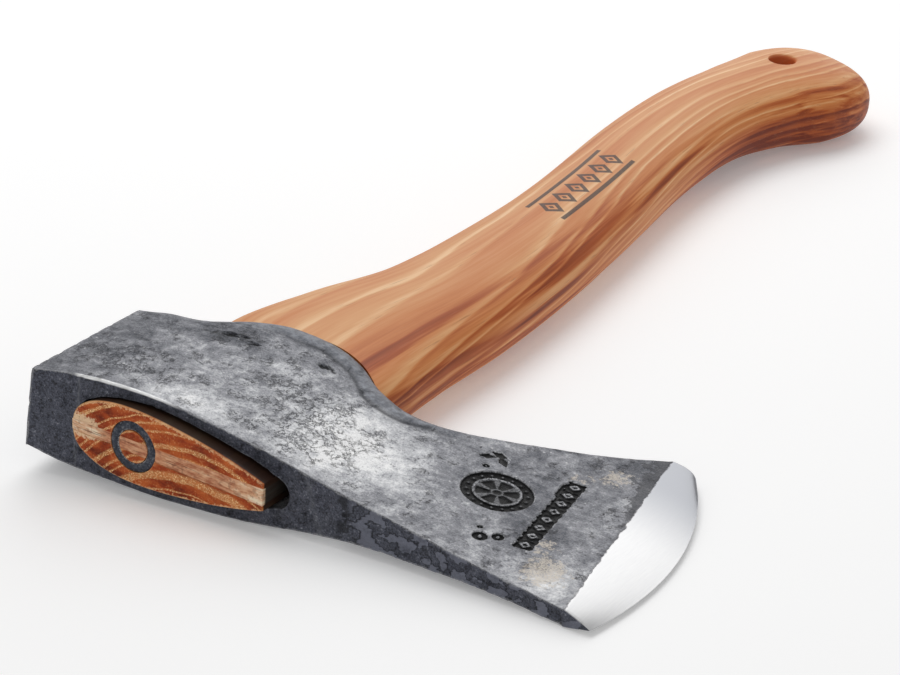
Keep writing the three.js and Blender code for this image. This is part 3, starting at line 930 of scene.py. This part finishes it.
class Paint:
    """A node material under construction; inputs are Values or plain numbers."""

    def __init__(self, name):
        self.material = bpy.data.materials.new(name)
        self.material.use_nodes = True
        self.tree = self.material.node_tree
        self.tree.nodes.clear()
        output = self.tree.nodes.new("ShaderNodeOutputMaterial")
        self.shader = self.tree.nodes.new("ShaderNodeBsdfPrincipled")
        self.tree.links.new(self.shader.outputs["BSDF"], output.inputs["Surface"])

    def feed(self, socket, value):
        if isinstance(value, Value):
            self.tree.links.new(value.socket, socket)
        else:
            socket.default_value = value

    def set(self, **values):
        for name, value in values.items():
            self.feed(self.shader.inputs[name.replace("_", " ")], value)

    def node(self, kind, inputs, **settings):
        """The outputs of a new node, by place and by name."""
        node = self.tree.nodes.new("ShaderNode" + kind)
        for name, value in settings.items():
            setattr(node, name, value)
        for key, value in inputs.items():
            self.feed(node.inputs[key], value)
        outputs = {}
        for i, out in enumerate(node.outputs):
            outputs[i] = outputs[out.name] = Value(self, out)
        return outputs

    def attribute(self, name, output="Vector"):
        return self.node("Attribute", {}, attribute_name=name)[output]

    def math(self, operation, a, b=0.0, clamp=False):
        return self.node("Math", {0: a, 1: b}, operation=operation, use_clamp=clamp)[0]

    def invert(self, a):
        return self.math("SUBTRACT", 1.0, a, clamp=True)

    def larger(self, a, b):
        return self.math("MAXIMUM", a, b)

    def split(self, vector, kind="XYZ"):
        parts = self.node("Separate" + kind, {0: vector})
        return [parts[k] for k in range(3)]

    def join(self, x, y, z):
        return self.node("CombineXYZ", {0: x, 1: y, 2: z})[0]

    def mapped(self, vector, stretch=(1, 1, 1), turn=(0, 0, 0), shift=(0, 0, 0)):
        turn = [math.radians(a) for a in turn]
        inputs = {"Vector": vector, "Scale": stretch, "Rotation": turn, "Location": shift}
        return self.node("Mapping", inputs)[0]

    def noise(self, vector, scale, detail=3.0, roughness=0.55, distortion=0.0, **mapping):
        """Noise in 0..1; stretch, turn and shift map the vector first."""
        if mapping:
            vector = self.mapped(vector, **mapping)
        inputs = {"Vector": vector, "Scale": scale, "Detail": detail, "Roughness": roughness}
        return self.node("TexNoise", {**inputs, "Distortion": distortion})[0]

    def cells(self, vector, scale):
        return self.node("TexVoronoi", {"Vector": vector, "Scale": scale})["Distance"]

    def step(self, value, low, high):
        """0 below low, 1 above high, smooth between; low may be above high."""
        start, end = (0.0, 1.0) if low < high else (1.0, 0.0)
        inputs = {"Value": value, "From Min": min(low, high), "From Max": max(low, high)}
        inputs.update({"To Min": start, "To Max": end})
        return self.node("MapRange", inputs, interpolation_type="SMOOTHSTEP")["Result"]

    def scaled(self, value, low, high):
        """Takes 0..1 to low..high."""
        return value * (high - low) + low

    def mix(self, factor, a, b):
        """Mixes two colours, given as Values or in 0-255 display values."""
        a, b = [tint(*c) if isinstance(c, tuple) else c for c in (a, b)]
        return self.node("Mix", {0: factor, 6: a, 7: b}, data_type="RGBA")[2]

    def blend(self, factor, a, b):
        """Mixes two plain values."""
        return self.node("Mix", {0: factor, 2: a, 3: b}, data_type="FLOAT")[0]

    def ramp(self, value, *stops):
        """A colour ramp through stops of (position, red, green, blue), colours in 0-255."""
        node = self.tree.nodes.new("ShaderNodeValToRGB")
        self.feed(node.inputs[0], value)
        elements = node.color_ramp.elements
        while len(elements) < len(stops):
            elements.new(0.5)
        for element, (position, *colour) in zip(elements, stops):
            element.position, element.color = position, tint(*colour)
        return Value(self, node.outputs["Color"])

    def bump(self, height, distance_mm, strength):
        """A bump from a height of 0..1 that stands for the given depth in mm."""
        inputs = {"Height": height, "Distance": distance_mm / 1000, "Strength": strength}
        return self.node("Bump", inputs)[0]


# ---- forged steel ----


def cheek_colour(p, at):
    """Worn forge scale: tone, cracks, flecks and scratches of the cheeks."""
    cloud = p.noise(at, 0.16, 5, 0.62, 0.4, shift=(3, 1, 2))
    patch = p.noise(at, 0.5, 5, 0.66, shift=(31, 7, 3))
    grain = p.noise(at, 2.1, 4, 0.72, shift=(5, 2, 9))
    drawn = p.noise(at, 0.8, 4, 0.6, stretch=(0.25, 0.9, 0.5), turn=(0, 0, 20))
    # The tone attribute holds the broad patches, which in part paint the cheek's reflection.
    tone = p.attribute("tone", "Fac")
    for noise_value, weight in ((cloud, 0.85), (patch, 0.65), (grain, 0.7), (drawn, 0.25)):
        tone = tone + (noise_value - 0.5) * weight
    colour = p.ramp(
        tone, (0.04, 44, 46, 52), (0.26, 88, 90, 97), (0.5, 136, 137, 142),
        (0.72, 186, 187, 190), (0.95, 226, 226, 226),
    )
    scratch = p.noise(at, 1.4, 3, 0.6, stretch=(0.07, 2.4, 1), turn=(0, 0, -38))
    bright = p.step(scratch, 0.62, 0.74) * 0.3
    colour = p.mix(bright, colour, (205, 205, 205))
    edge = abs(p.noise(at, 0.36, 9, 0.74, shift=(7, 7, 7)) - 0.5)
    crackle = p.attribute("crackle", "Fac") + p.scaled(p.noise(at, 0.22, 4), -2.2, 2.2)
    cracks = p.step(edge, 0.026, 0.008) * p.step(crackle, 0.2, 0.7)
    colour = p.mix(cracks * 0.75, colour, (34, 35, 40))
    pitting = p.step(grain, 0.39, 0.31) * p.step(patch, 0.56, 0.44)
    colour = p.mix(pitting * 0.7, colour, (36, 37, 42))
    chips = p.noise(at, 1.3, 6, 0.8, shift=(12, 4, 6))
    chipped = p.step(chips, 0.42, 0.39) * p.step(cloud, 0.6, 0.5)
    colour = p.mix(chipped * 0.5, colour, (40, 42, 49))
    spots = p.step(p.cells(at, 0.5), 0.2, 0.1) * p.step(patch, 0.52, 0.6)
    colour = p.mix(spots * 0.6, colour, (220, 220, 220))
    stain = p.attribute("stain", "Fac")
    stain = stain + p.scaled(p.noise(at, 0.6, 6, 0.75, shift=(62, 3, 1)), -1, 1)
    faded = p.step(stain, 0.5, 0.6) * p.scaled(p.step(grain, 0.4, 0.58), 0.25, 0.8)
    colour = p.mix(faded, colour, (196, 186, 172))
    return colour, patch, grain, cracks, pitting


def polished_bevel(p, at):
    """Colour of the ground and polished bevel, greyer towards the heel as a painted dimming of its
    reflection.
    """
    y = p.split(at)[1]
    grind = p.noise(at, 2.2, 3, 0.6, stretch=(2.6, 0.1, 1), turn=(0, 0, 10))
    colour = p.ramp(grind, (0.3, 196, 196, 197), (0.7, 204, 204, 204))
    # Painted shade: the bevel's reflection dims towards the heel.
    colour = p.mix(p.step(y, 22, 52) * 0.85, colour, (146, 148, 154))
    return colour, grind


def forged_steel():
    p = Paint("forged_steel")
    at = p.attribute("axe")
    x, y, z = p.split(at)
    end_face, band, poll = p.split(p.attribute("zones", "Color"), "Color")
    marks = p.attribute("zones", "Alpha")
    pits, crease, flakes = p.split(p.attribute("relief", "Color"), "Color")
    lines = p.attribute("relief", "Alpha")
    border = p.attribute("border", "Fac")
    colour, patch, grain, cracks, pitting = cheek_colour(p, at)

    dark_steel = p.ramp(
        patch * 0.35 + grain * 0.65, (0.38, 16, 17, 21), (0.45, 54, 56, 66),
        (0.58, 86, 89, 102), (0.68, 160, 162, 170),
    )
    smooth_band = p.mix(p.step(patch, 0.35, 0.65), (76, 79, 86), (124, 127, 134))
    colour = p.mix(band * 0.85, colour, smooth_band)
    # Painted shade: the crease inside the lug's band is darkened.
    colour = p.mix(crease * 0.75, colour, (44, 46, 52))
    colour = p.mix(p.larger(end_face * 0.95, poll), colour, dark_steel)
    colour = p.mix(p.step(flakes, 0.5, 0.9) * 0.65, colour, (122, 125, 138))
    flake_edge = p.step(flakes, 0.1, 0.3) * p.step(flakes, 0.6, 0.45)
    colour = p.mix(flake_edge * 0.7, colour, (24, 25, 29))
    colour = p.mix(lines * 0.3, colour, (140, 142, 148))

    arris = p.attribute("arris", "Fac") + p.scaled(patch, -0.9, 0.9)
    rubbed = p.step(arris, 0.75, 0.2) * p.scaled(p.step(grain, 0.4, 0.55), 0.25, 0.75)
    colour = p.mix(rubbed, colour, (168, 169, 172))
    # Painted highlight: a near-white line on the polished arris between the cheek and the end face,
    # from x -36 to -4.
    near_edge = p.step(p.attribute("arris", "Fac"), 0.95, 0.5)
    ground_run = p.step(x, -36, -34) * p.step(x, -4, -14)
    ground_line_highlight = near_edge * ground_run * p.step(z, 2, 6)
    colour = p.mix(ground_line_highlight, colour, (246, 246, 246))
    # Painted shade: the stamped marks turn near black with depth.
    stamped = p.ramp(marks, (0.0, 120, 121, 124), (0.3, 52, 53, 57), (0.62, 10, 10, 12))
    colour = p.mix(p.step(marks, 0.0, 0.2), colour, stamped)
    # Painted highlight: glints on the raised parts inside the marks.
    stamp_glint = p.step(marks, 0.02, 0.1) * p.step(marks, 0.55, 0.3)
    stamp_glint = stamp_glint * p.scaled(p.step(grain, 0.4, 0.56), 0.1, 0.85)
    colour = p.mix(stamp_glint, colour, (184, 185, 189))
    # Painted shade: the pits are turned near black.
    colour = p.mix(pits * 0.95, colour, (14, 15, 18))

    wobble = border + p.scaled(p.noise(at, 0.3, 6, 0.75), -1.1, 1.1)
    bevel, grind = polished_bevel(p, at)
    ground = p.step(wobble, -0.2, 0.2) * p.invert(end_face)
    lip_reach = p.scaled(p.step(y, 24, 56), 1.3, 6.5) * p.scaled(patch, -0.9, 2.5)
    lip = p.step(wobble + lip_reach, 0.2, 1.2)
    colour = p.mix(lip * p.scaled(p.step(y, 4, 40), 0.1, 0.75), colour, (48, 49, 55))
    colour = p.mix(ground, colour, bevel)

    rough = p.scaled(grain * 0.5 + patch * 0.5, 0.28, 0.7)
    rough = p.blend(ground, rough, p.scaled(grind, 0.26, 0.36))
    metal = p.blend(ground, p.blend(ground_line_highlight, 0.65, 1.0), 1.0)
    coarse = p.larger(end_face, poll)
    height = (grain * 0.7 + patch * 0.8) * p.scaled(coarse, 1.0, 1.3)
    height = height + p.larger(cracks, pitting) * -0.5
    height = height * (1.0 - band * 0.6)
    height = p.blend(ground, height, grind * 0.03)
    p.set(Base_Color=colour, Roughness=rough, Metallic=metal, Normal=p.bump(height, 0.3, 0.85))
    return p.material


# ---- hickory ----

RING_WIDTH = 2.5  # growth ring spacing, mm
PITH_X, PITH_Z = 6.5, -38  # where the heart of the tree runs past the eye end, mm
PITH_LEAN_X, PITH_LEAN_Z = 0.07, 0.05


def hickory_rings(p, at):
    """Growth-ring phase, its year and a per-year random value."""
    x, y, z = p.split(at)
    x = x * 0.12 + p.attribute("flow", "Fac") * 0.88
    sway = p.noise(at, 1.0, 2, 0.5, stretch=(0.03, 0.007, 0.03), shift=(2, 3, 8))
    wave = p.noise(at, 1.0, 3, 0.5, stretch=(0.16, 0.016, 0.16), shift=(4, 1, 2))
    dx = x - PITH_X - y * PITH_LEAN_X
    dz = z - PITH_Z - y * PITH_LEAN_Z
    radius = p.math("SQRT", dx * dx + dz * dz)
    radius = radius + p.scaled(sway, -2.0, 2.0)
    radius = radius + p.scaled(wave, -0.6, 0.6)
    spread = p.noise(p.join(radius, 0.0, 0.0), 0.17, 2, 0.5)
    turns = (radius + p.scaled(spread, -4.5, 4.5)) * (1 / RING_WIDTH)
    phase = p.math("FRACT", turns)
    mood = p.node("TexWhiteNoise", {"W": p.math("FLOOR", turns)}, noise_dimensions="1D")["Value"]
    return phase, mood


def long_grain(p, phase, mood):
    """Colour of the wood where it is cut along the grain, with painted shade on its belly side and
    under the knob, and its fibre and pores.
    """
    along, across, height = p.split(p.attribute("shaft"))
    run = p.join(along, p.attribute("flow", "Fac"), height)
    fibre = p.noise(run, 1.0, 4, 0.6, stretch=(0.022, 1.0, 1.0))
    fine = p.noise(run, 1.0, 3, 0.6, stretch=(0.07, 4.6, 4.6), shift=(3, 5, 1))
    broad = p.noise(run, 1.0, 3, 0.5, stretch=(0.007, 0.08, 0.08), shift=(9, 2, 7))
    pores = p.noise(run, 1.0, 2, 0.5, stretch=(0.1, 3.2, 3.2), shift=(1, 8, 4))
    pore = p.step(pores, 0.38, 0.3) * p.step(phase, 0.5, 0.1)
    pale_line = p.step(phase, 0.0, 0.14) * p.step(phase, 0.5, 0.2)
    dark_line = p.step(phase, 0.5, 0.88) * p.step(phase, 1.0, 0.92)
    dark_line = dark_line * p.scaled(mood, 0.1, 1.3)
    # The belly side is darker, with its dark streaks: partly the wood's own colour, partly painted
    # shade on the side turned from the light.
    belly_tone_and_shade = p.step(across - height * 0.4, 0, 16)
    belly_tone_and_shade = belly_tone_and_shade * p.scaled(p.step(along, 40, 110), 0.7, 1.0)

    streak = p.noise(run, 1.0, 3, 0.5, stretch=(0.009, 0.32, 0.32), shift=(4, 6, 2))
    deep = p.step(streak, 0.46, 0.62) * p.step(belly_tone_and_shade, 0.15, 0.7)
    tone = broad * 0.42 + (fibre - 0.5) * p.scaled(belly_tone_and_shade, 0.24, 0.4)
    tone = tone + dark_line * p.scaled(belly_tone_and_shade, 0.07, 0.12)
    tone = tone - pale_line * p.scaled(mood, 0.08, 0.17)
    tone = tone + (belly_tone_and_shade * 0.06 + deep * 0.22)
    # Painted shade on the lower side of the knob.
    knob_underside_shade = p.step(height - across * 0.25, 1, -9)
    tone = tone + p.step(along, 225, 275) * knob_underside_shade * 0.26
    wood = p.ramp(
        tone, (0.0, 236, 192, 144), (0.13, 218, 158, 105), (0.28, 204, 128, 72),
        (0.46, 172, 84, 34), (0.72, 112, 40, 12),
    )
    wood = p.mix(pore * 0.35, wood, (112, 52, 24))
    wood = p.mix(p.step(fine, 0.56, 0.76) * 0.16, wood, (226, 184, 140))
    return wood, fibre, pore


def cross_grain(p, at, phase):
    """Colour and height of the sawn end grain: rows of pale pores on deep orange-red."""
    row = p.step(phase, 0.0, 0.1) * p.step(phase, 0.46, 0.3)
    flat = p.mapped(at, stretch=(1, 0.02, 1))
    grit = p.noise(flat, 2.6, 3, 0.7)
    size = p.scaled(p.noise(flat, 1.7, 2, 0.6, shift=(8, 0, 3)), 0.1, 0.62)
    dots = p.step(p.cells(flat, 2.9) - size, 0.08, -0.06)
    blotch = p.noise(at, 1.0, 3, 0.6, stretch=(0.14, 0.02, 0.3), shift=(5, 1, 1))
    ray = p.noise(at, 1.0, 2, 0.5, stretch=(1.7, 0.1, 0.1), turn=(0, 14, 0), shift=(2, 0, 6))
    split = p.step(ray, 0.33, 0.26)
    colour = p.ramp(
        blotch, (0.32, 112, 38, 14), (0.48, 164, 66, 26), (0.66, 196, 98, 46),
    )
    colour = p.mix(row * 0.5, colour, (222, 152, 92))
    colour = p.mix(row * dots * 0.95, colour, (252, 216, 156))
    speck = p.step(grit, 0.57, 0.68) * p.scaled(p.step(blotch, 0.4, 0.6), 0.25, 0.75)
    colour = p.mix(speck, colour, (232, 170, 110))
    x, _, z = p.split(at)
    back_edge = x + p.scaled(p.noise(flat, 0.5, 5, 0.7), -6, 6)
    back_side = abs(z - 0.4) + p.scaled(p.noise(flat, 0.9, 5, 0.7), -3, 3)
    pale_back = p.step(back_edge, -27.2, -28.4) * p.step(back_side, 3.3, 2.5)
    colour = p.mix(pale_back * p.scaled(grit, 0.3, 1.3), colour, (240, 210, 172))
    colour = p.mix(p.step(grit, 0.42, 0.3) * 0.55, colour, (92, 36, 18))
    colour = p.mix(split * 0.5, colour, (70, 30, 18))
    rim = p.attribute("rim", "Fac")
    ragged = rim + p.scaled(p.noise(flat, 1.1, 5, 0.8), -2.2, 2.2)
    colour = p.mix(p.step(ragged, 0.6, 0.2) * 0.85, colour, (234, 188, 138))
    height = dots * 0.35 + (grit + split * -0.8)
    return colour, height


def hickory():
    p = Paint("hickory")
    at = p.attribute("axe")
    y = p.split(at)[1]
    end = p.attribute("end_grain", "Fac")
    phase, mood = hickory_rings(p, at)
    wood, fibre, pore = long_grain(p, phase, mood)
    cut, cut_height = cross_grain(p, at, phase)
    # Painted shade: the sides of the tongue inside the eye, from just behind its face to y 20, turn
    # near black.
    eye_gap_shade = p.step(y, 20, 8) * p.step(y, TONGUE_FACE_Y + 0.2, TONGUE_FACE_Y + 0.6)
    wood = p.mix(eye_gap_shade * 0.96, wood, (30, 22, 18))
    wood = p.mix(p.attribute("bore", "Fac") * 0.85, wood, (206, 104, 56))
    colour = p.mix(end, wood, cut)
    colour = p.mix(burnt_band(p), colour, (36, 22, 18))
    height = p.blend(end, fibre * 0.5 + pore * -0.5, cut_height * 2.2)
    rough = p.blend(end, p.scaled(fibre, 0.42, 0.56), 0.85)
    p.set(Base_Color=colour, Roughness=rough, Normal=p.bump(height, 0.08, 0.6))
    p.set(Specular_IOR_Level=0.28)
    return p.material


BURN_CENTRE, BURN_HALF_LENGTH, BURN_PITCH = 181, 24.2, 8.0  # along the handle, mm
BURN_RAIL = 5.6  # from the middle line to each of the two lines, mm
LOZENGE_HALF_LENGTH, LOZENGE_HALF_WIDTH = 3.2, 3.9


def burnt_band(p):
    """A chain of lozenges between two lines, burnt into the upper side of the handle."""
    shaft = p.attribute("shaft")
    along, across, height = p.split(shaft)
    top = p.step(height, 1.0, 3.0)
    s = along - BURN_CENTRE
    cell = abs((p.math("FRACT", s * (1 / BURN_PITCH)) - 0.5) * BURN_PITCH)
    wide = abs(across)
    kite = cell * (1 / LOZENGE_HALF_LENGTH) + wide * (1 / LOZENGE_HALF_WIDTH)
    outline = p.step(kite, 1.1, 1.02) * p.step(kite, 0.5, 0.58)
    heart = p.step(kite, 0.28, 0.2)
    rails = p.step(abs(wide - BURN_RAIL), 0.75, 0.55)
    inside = p.step(abs(s), BURN_HALF_LENGTH, BURN_HALF_LENGTH - 0.3)
    ink = p.larger(p.larger(outline, heart), rails)
    worn = p.scaled(p.noise(shaft, 0.9, 3, stretch=(1, 2, 1)), 0.75, 1.0)
    return ink * inside * top * worn


def pale_wood():
    p = Paint("pale_wood")
    at = p.attribute("axe")
    x, y = p.split(at)[:2]
    fibre = p.noise(at, 1.1, 5, 0.6, stretch=(0.3, 0.05, 1.0), turn=(0, -8, 0))
    grime = p.noise(at, 0.7, 3, 0.6, shift=(4, 4, 4))
    fresh = p.larger(p.step(x, -23, -30), p.step(x, 8, 17))
    tone = fibre + p.scaled(fresh, -0.08, 0.1)
    colour = p.ramp(
        tone, (0.3, 172, 100, 64), (0.44, 208, 148, 108), (0.58, 228, 184, 146),
        (0.74, 244, 224, 194),
    )
    crack = p.noise(at, 1.0, 2, 0.5, stretch=(0.1, 0.2, 3.4), shift=(0, 0, 2))
    colour = p.mix(p.step(crack, 0.38, 0.3) * 0.8, colour, (96, 50, 32))
    colour = p.mix(p.step(grime, 0.46, 0.34) * 0.5, colour, (140, 84, 54))
    # Painted shade: the wedge's sides inside the kerf, from just behind its face to y 20, turn near
    # black.
    kerf_shade = p.step(y, 20, 8) * p.step(y, TONGUE_FACE_Y + 0.5, TONGUE_FACE_Y + 1.3)
    colour = p.mix(kerf_shade * 0.97, colour, (12, 10, 9))
    height = fibre + p.step(crack, 0.3, 0.4)
    p.set(Base_Color=colour, Roughness=p.scaled(grime, 0.55, 0.8))
    p.set(Normal=p.bump(height, 0.16, 0.8))
    return p.material


def ring_steel():
    p = Paint("ring_steel")
    at = p.attribute("axe")
    patch = p.noise(at, 0.7, 4, 0.6)
    fleck = p.noise(at, 2.4, 3, 0.65, shift=(2, 3, 4))
    colour = p.ramp(
        patch * 0.6 + fleck * 0.4, (0.38, 30, 33, 41), (0.54, 62, 66, 76),
        (0.68, 120, 123, 128),
    )
    x, _, z = p.split(at)
    off_centre = x - RING_X
    radius = p.math("SQRT", off_centre * off_centre + z * z)
    # Painted highlight: the inner lip and wall of the ring are lighter; the chips near the outer
    # edge are wear.
    inner_lip_highlight = p.step(radius, RING_INNER + 0.5, RING_INNER + 0.2) * p.step(fleck, 0.44, 0.54)
    chips = p.step(fleck, 0.6, 0.68) * p.step(radius, RING_OUTER - 1.0, RING_OUTER - 0.3)
    worn = p.larger(inner_lip_highlight, chips)
    colour = p.mix(worn * 0.7, colour, (168, 166, 164))
    p.set(Base_Color=colour, Metallic=0.8, Roughness=p.scaled(patch, 0.3, 0.6))
    p.set(Normal=p.bump(fleck, 0.1, 0.7))
    return p.material


# ---- stage ----


def floor_paint():
    """White paper, lit a little from behind so that it stays pale."""
    p = Paint("floor_paint")
    p.set(Base_Color=(0.9, 0.9, 0.9, 1), Roughness=0.95, Specular_IOR_Level=0.0)
    p.set(Emission_Color=(1, 1, 1, 1), Emission_Strength=0.18)
    return p.material


FLOOR_HALF = 3.0  # m
WORLD_STRENGTH = 0.4
# Name, place in m, diameter in m, power in W.
SOFTBOXES = [
    ("overhead", (-0.3, 0.1, 1.15), 1.1, 5.4),
    ("back", (-0.5, 1.15, 0.8), 1.5, 7.5),
    ("front", (0.7, -1.0, 0.9), 0.7, 1),
]


def make_floor():
    corners = [(x * FLOOR_HALF, y * FLOOR_HALF, 0) for x, y in ((-1, -1), (1, -1), (1, 1), (-1, 1))]
    data = bpy.data.meshes.new("floor")
    data.from_pydata(corners, [], [(0, 1, 2, 3)])
    floor = new_object("floor", data)
    data.materials.append(floor_paint())


def area_light(name, place, aim, size, power):
    data = bpy.data.lights.new(name, "AREA")
    data.shape, data.size, data.energy = "DISK", size, power
    lamp = new_object(name, data)
    lamp.location = place
    lamp.rotation_euler = (Vector(aim) - Vector(place)).to_track_quat("-Z", "Y").to_euler()


def make_lights():
    world = bpy.data.worlds.new("soft_white")
    world.use_nodes = True
    background = world.node_tree.nodes["Background"]
    background.inputs["Color"].default_value = (1, 1, 1, 1)
    background.inputs["Strength"].default_value = WORLD_STRENGTH
    bpy.context.scene.world = world
    for name, place, size, power in SOFTBOXES:
        area_light(name, place, (0, 0, 0), size, power)


CAMERA_AZIMUTH, CAMERA_ELEVATION, CAMERA_ROLL = 33.306, 23.535, -1.274
CAMERA_DISTANCE, CAMERA_TARGET, CAMERA_LENS = 0.72142, (-0.02024, -0.06782, 0.01125), 115


def make_camera():
    data = bpy.data.cameras.new("camera")
    data.lens, data.sensor_width = CAMERA_LENS, 36
    data.clip_start, data.clip_end = 0.01, 20
    camera = new_object("camera", data)
    turn = Matrix.Rotation(math.radians(CAMERA_AZIMUTH), 4, "Z")
    tilt = Matrix.Rotation(math.radians(90 - CAMERA_ELEVATION), 4, "X")
    roll = Matrix.Rotation(math.radians(CAMERA_ROLL), 4, "Z")
    back = Matrix.Translation((0, 0, CAMERA_DISTANCE))
    camera.matrix_world = Matrix.Translation(CAMERA_TARGET) @ turn @ tilt @ roll @ back
    bpy.context.scene.camera = camera


def main():
    bpy.context.scene.view_settings.view_transform = "Standard"
    finish_piece(make_head(), forged_steel(), ["axe_head"])
    finish_piece(make_handle(), hickory(), ["handle"])
    finish_piece(make_wood_wedge(), pale_wood(), ["wood_wedge"])
    finish_piece(make_ring_wedge(), ring_steel(), ["ring_wedge"])
    make_floor()
    make_lights()
    make_camera()


main()
